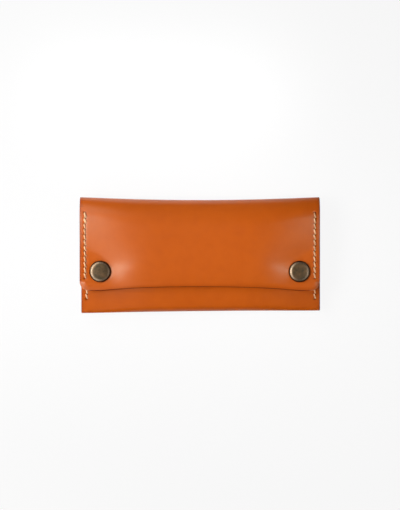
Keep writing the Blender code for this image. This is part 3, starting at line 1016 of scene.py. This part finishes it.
def paintWearAndLight(piece, wearOf):  # 1 is rubbed bright, -1 is full of dirt; on the caps the bright ring is also painted highlight and the dark rim also painted shade
    wearAndPaintedLight = piece.data.attributes.new("wearAndPaintedLight", "FLOAT", "POINT")
    for vertex in piece.data.vertices:
        x, y, z = vertex.co / mm
        wearAndPaintedLight.data[vertex.index].value = min(max(wearOf(math.hypot(x, y), z), -1.0), 1.0)


def setSnapPair(piece, part, material, body):  # a copy at the left and one at the right
    piece.data.materials.append(material)
    for word, side in (("left", -1), ("right", 1)):
        copy = piece.copy()
        copy.data = piece.data.copy()
        copy.name = copy.data.name = word + part[0].upper() + part[1:]
        bpy.context.collection.objects.link(copy)
        place = Vector((side * snap["x"], snap["y"], snap["seat"]))
        copy.data.transform(Matrix.Translation(place * mm))
        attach(copy, body)
        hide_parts(word + "_snap_" + part)
    bpy.data.objects.remove(piece)


cap = {
    "top": 9.75,
    "brow": 5.3,           # radius where the dome ends
    "browHeight": 9.5,
    "bevel": 6.35,         # radius where the bevel ends
    "bevelHeight": 9.05,
    "bevelPower": 1.25,
    "rimStart": 0.5,       # angle at which the rim leaves the bevel
    "clearance": 0.05,
    "edge": 7.9,
    "edgeLow": 7.6,
    "low": 7.1,
    "barrel": 2.0,
    "flare": 2.7,
    "flareLow": 3.5,
    "flareTop": 3.8,
    "brightIn": 0.35,      # worn ring with painted highlight, in from the bevel's end
    "brightReach": 0.5,
    "dirtShadeOut": 0.15,       # dirt and painted shade outside it
    "dirtShadeReach": 0.4,
}


def makeSnapCaps():
    outer = snap["cap"] - cap["clearance"]
    start = cap["rimStart"]
    profile = []
    for t in sweep(0, 1, 8):  # nearly flat dome
        profile.append((cap["brow"] * t, cap["top"] - (cap["top"] - cap["browHeight"]) * t ** 2))
    for t in sweep(0, 1, 6)[1:]:  # bevel that catches the light
        fall = (cap["browHeight"] - cap["bevelHeight"]) * t ** cap["bevelPower"]
        profile.append((cap["brow"] + (cap["bevel"] - cap["brow"]) * t, cap["browHeight"] - fall))
    for angle in sweep(start, math.pi / 2, 7)[1:]:  # steep rim
        t = (math.sin(angle) - math.sin(start)) / (1 - math.sin(start))
        height = (cap["bevelHeight"] - cap["edge"]) * math.cos(angle) / math.cos(start)
        profile.append((cap["bevel"] + (outer - cap["bevel"]) * t, cap["edge"] + height))
    under = cap["low"] + 0.1
    profile += [(outer - 0.05, cap["edgeLow"]), (outer - 0.35, cap["low"]), (outer - 1.2, under),
                (cap["barrel"], under), (cap["barrel"], cap["flareTop"]),
                (cap["flare"], cap["flareTop"]), (cap["flare"], cap["flareLow"]), (0, cap["flareLow"])]
    piece = turnPiece("snapCap", profile, 72, 0.0)

    def wearOf(radius, z):
        out = radius - cap["bevel"]
        bright = bell(out + cap["brightIn"], cap["brightReach"])
        # outside the bright ring the rim is dark with dirt and painted shade
        return bright - ease((out - cap["dirtShadeOut"]) / cap["dirtShadeReach"])

    paintWearAndLight(piece, wearOf)
    setSnapPair(piece, "cap", antiqueBrass, "flap")


socket = {
    "outer": 6.3,
    "low": 1.0,
    "plateLow": 4.0,
    "plateTop": 4.6,
    "mouth": 3.2,
    "hole": 2.2,
    "grooveLow": 1.25,
    "grooveTop": 2.35,
    "groove": 4.1,
    "wornRing": 5.2,
}


def makeSnapSockets():
    profile = [(socket["hole"], socket["plateTop"]), (socket["outer"], socket["plateTop"]),
               (socket["outer"], socket["low"] + 1.1), (socket["outer"] - 0.5, socket["low"] + 0.5),
               (socket["outer"] - 1.6, socket["low"]), (socket["mouth"], socket["low"]),
               (socket["mouth"], socket["grooveLow"]), (socket["groove"], socket["grooveLow"]),
               (socket["groove"], socket["grooveTop"]), (socket["mouth"], socket["grooveTop"]),
               (socket["mouth"], socket["plateLow"]), (socket["hole"], socket["plateLow"]),
               (socket["hole"], socket["plateTop"])]
    piece = turnPiece("snapSocket", profile, 64, 0.1)

    def wearOf(radius, z):
        return bell(radius - socket["mouth"], 0.6) + 0.6 * bell(radius - socket["wornRing"], 0.5)

    paintWearAndLight(piece, wearOf)
    setSnapPair(piece, "socket", antiqueBrass, "flap")


stud = {
    "flange": 5.5,
    "flangeTop": 0.8,
    "low": 0.2,
    "neck": 2.3,
    "head": 2.9,
    "headLow": 2.2,
    "top": 3.2,
    "bore": 1.7,
    "recess": 2.2,
    "recessLow": 2.5,
    "wornAbove": 2.0,
}


def makeSnapStuds():
    profile = [(stud["recess"], stud["top"] - 0.05), (stud["head"] - 0.35, stud["top"]),
               (stud["head"], stud["top"] - 0.4), (stud["head"] - 0.05, stud["headLow"] + 0.2),
               (stud["neck"], stud["headLow"] - 0.2), (stud["neck"], stud["flangeTop"] + 0.3),
               (stud["neck"] + 0.4, stud["flangeTop"]), (stud["flange"] - 0.5, stud["flangeTop"] - 0.1),
               (stud["flange"], stud["low"] + 0.3), (stud["flange"] - 0.1, stud["low"]),
               (stud["bore"], stud["low"]), (stud["bore"], stud["recessLow"]),
               (stud["recess"], stud["recessLow"]), (stud["recess"], stud["top"] - 0.05)]
    piece = turnPiece("snapStud", profile, 64, 0.08)
    paintWearAndLight(piece, lambda radius, z: bell(radius - stud["head"], 0.5) * (z > stud["wornAbove"]))
    setSnapPair(piece, "stud", antiqueBrass, "pocket")


post = {
    "flange": 4.5,
    "flangeTop": -2.0,
    "flangeLow": -2.6,
    "barrel": 1.5,
    "flare": 2.0,
    "flareTop": 3.0,
    "flareLow": 2.7,
    "wornRing": 1.4,
}


def makeSnapPosts():
    profile = [(0, post["flareTop"] - 0.25), (1.0, post["flareTop"] - 0.2), (1.6, post["flareTop"]),
               (post["flare"], post["flareLow"] + 0.1), (post["barrel"], post["flareLow"]),
               (post["barrel"], post["flangeTop"]), (post["flange"], post["flangeTop"]),
               (post["flange"], post["flangeTop"] - 0.25), (post["flange"] - 0.6, post["flangeLow"]),
               (0, post["flangeLow"])]
    piece = turnPiece("snapPost", profile, 48, 0.06)
    paintWearAndLight(piece, lambda radius, z: bell(radius - post["wornRing"], 0.5) * 0.7)
    setSnapPair(piece, "post", antiqueBrass, "pocket")


spring = {"radius": 3.55, "wire": 0.33, "height": 1.8, "split": 60.0}


def makeSnapSprings():
    deselectAll()
    bpy.ops.mesh.primitive_circle_add(vertices=12, radius=spring["wire"] * mm, fill_type="NGON",
                                      location=(spring["radius"] * mm, 0, spring["height"] * mm),
                                      rotation=(math.pi / 2, 0, 0))
    piece = bpy.context.object
    bpy.ops.object.transform_apply(location=True, rotation=True, scale=True)
    bpy.ops.object.mode_set(mode="EDIT")
    bpy.ops.mesh.select_all(action="SELECT")
    around = math.radians(360 - spring["split"])
    bpy.ops.mesh.spin(steps=56, angle=around, center=(0, 0, 0), axis=(0, 0, 1))
    bpy.ops.mesh.select_all(action="SELECT")
    bpy.ops.mesh.normals_make_consistent(inside=False)
    bpy.ops.object.mode_set(mode="OBJECT")
    bpy.ops.object.shade_smooth_by_angle(angle=math.radians(turning["smoothAngle"]))
    setSnapPair(piece, "spring", springSteel, "flap")


makeSnapCaps()
makeSnapSockets()
makeSnapStuds()
makeSnapPosts()
makeSnapSprings()
print("snaps made")


# floor, lights and camera

studio = {
    "floorSize": 6.0,
    "floorDrop": 0.3,       # millimetres below the case
    "floorColour": (0.90, 0.90, 0.90),
    "floorLift": 0.90,      # share of plain white that the camera sees
    "mirrorLift": 0.08,     # the same in reflections
    "roomLight": 0.02,
}
lamps = {
    "keySoftbox": {"place": (-0.205, 0.0, 0.235), "aim": (-0.035, 0.0, 0.015), "size": (0.15, 0.27),
                   "power": 0.089, "spread": 45.0},
    "upperSoftbox": {"place": (-0.25, 0.20, 0.25), "aim": (0.0, 0.0, 0.0), "size": (0.30, 0.30),
                     "power": 0.63, "spread": 180.0},
    "lowerSoftbox": {"place": (-0.25, -0.20, 0.25), "aim": (0.0, 0.0, 0.0), "size": (0.30, 0.30),
                     "power": 0.52, "spread": 180.0},
    "fillSoftbox": {"place": (0.266, -0.097, 0.298), "aim": (0.0, 0.0, 0.015), "size": (0.18, 0.26),
                    "power": 0.12, "spread": 180.0},
    "rightSoftbox": {"place": (0.205, 0.0, 0.235), "aim": (0.052, 0.002, 0.018), "size": (0.08, 0.09),
                     "power": 0.0068, "spread": 28.0},
    "tableLight": {"place": (-0.03, 0.115, 0.06), "aim": (-0.03, 0.115, 0.0), "size": (0.18, 0.06),
                   "power": 0.05, "spread": 120.0},  # whitens the table behind the top fold
}


def makeFloor():
    deselectAll()
    place = (0, 0, -studio["floorDrop"] * mm)
    bpy.ops.mesh.primitive_plane_add(size=studio["floorSize"], location=place)
    floor = bpy.context.object
    floor.name = "floor"
    material, tree, shader = startMaterial("paleFloor")
    tree.nodes.remove(shader)
    paint = addNode(tree, "ShaderNodeBsdfDiffuse", {"Color": (*studio["floorColour"], 1.0)})
    white = addNode(tree, "ShaderNodeEmission", {"Strength": 1.0})
    ray = addNode(tree, "ShaderNodeLightPath")
    glossy, through = ray.outputs["Is Glossy Ray"], ray.outputs["Is Transmission Ray"]
    mirrored = calculate(tree, "MAXIMUM", glossy, through)
    mirrored = calculate(tree, "MULTIPLY", mirrored, studio["mirrorLift"])
    seen = calculate(tree, "MULTIPLY", ray.outputs["Is Camera Ray"], studio["floorLift"])
    mix = addNode(tree, "ShaderNodeMixShader")
    tree.links.new(calculate(tree, "MAXIMUM", seen, mirrored), mix.inputs["Fac"])
    tree.links.new(paint.outputs["BSDF"], mix.inputs[1])
    tree.links.new(white.outputs["Emission"], mix.inputs[2])
    tree.links.new(mix.outputs["Shader"], tree.nodes["Material Output"].inputs["Surface"])
    floor.data.materials.append(material)


def addSoftbox(name, look):
    bpy.ops.object.light_add(type="AREA", location=look["place"])
    lamp = bpy.context.object
    lamp.name = name
    lamp.data.shape = "RECTANGLE"
    lamp.data.size, lamp.data.size_y = look["size"]
    lamp.data.energy = look["power"]
    lamp.data.spread = math.radians(look["spread"])
    towards = Vector(look["aim"]) - Vector(look["place"])
    lamp.rotation_euler = towards.to_track_quat("-Z", "Y").to_euler()


view = {
    "distance": 1.15,
    "plane": 19.8,          # height at which the scale is right
    "mmPerPixel": 0.690,
    "imageHeight": 510,
    "middle": (0.15, -0.3),
    "farClip": 20.0,
}


def makeCamera():
    x, y = view["middle"]
    bpy.ops.object.camera_add(location=(x * mm, y * mm, view["distance"]), rotation=(0, 0, 0))
    camera = bpy.context.object
    seenHeight = view["imageHeight"] * view["mmPerPixel"] * mm
    camera.data.lens = camera.data.sensor_width * (view["distance"] - view["plane"] * mm) / seenHeight
    camera.data.clip_end = view["farClip"]
    bpy.context.scene.camera = camera


makeFloor()
for name, look in lamps.items():
    addSoftbox(name, look)
makeCamera()
room = bpy.data.worlds.new("room")
room.use_nodes = True
background = room.node_tree.nodes["Background"]
background.inputs["Color"].default_value = (1, 1, 1, 1)
background.inputs["Strength"].default_value = studio["roomLight"]
bpy.context.scene.world = room
bpy.context.scene.view_settings.view_transform = "Standard"
print("studio made")
